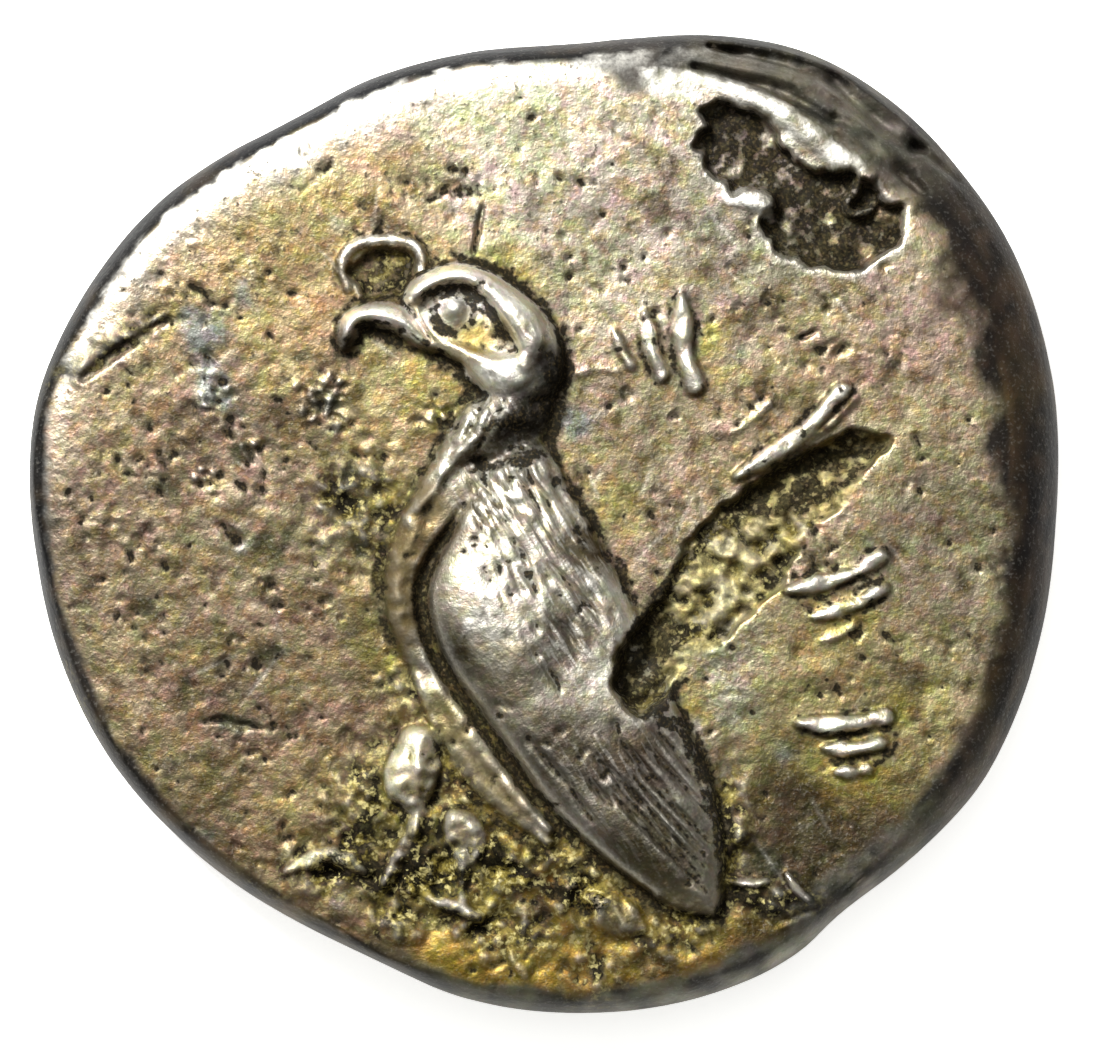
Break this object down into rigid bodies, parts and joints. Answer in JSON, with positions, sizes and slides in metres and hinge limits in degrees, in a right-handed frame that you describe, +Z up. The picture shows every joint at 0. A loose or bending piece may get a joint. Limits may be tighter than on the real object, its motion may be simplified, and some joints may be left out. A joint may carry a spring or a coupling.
{
  "type": "ancient silver didrachm coin",
  "caption": "Thick struck silver coin, an eagle in relief on its face, a crab in a shallow round hollow below, with a gouge, a pit and worn edges.",
  "frame": {"origin": "on the rest plane under the middle of the coin's outline", "axes": "+Z up through the eagle's face, +X to the right of the face as pictured, +Y to the top of the face"},
  "size_m": [0.0206, 0.0196, 0.0038],
  "materials": {
    "silver": "struck silver, worn bright on the relief, toned grey, brown and olive in the field"
  },
  "bodies": {
    "root": {"coin": "silver"}
  },
  "joints": []
}
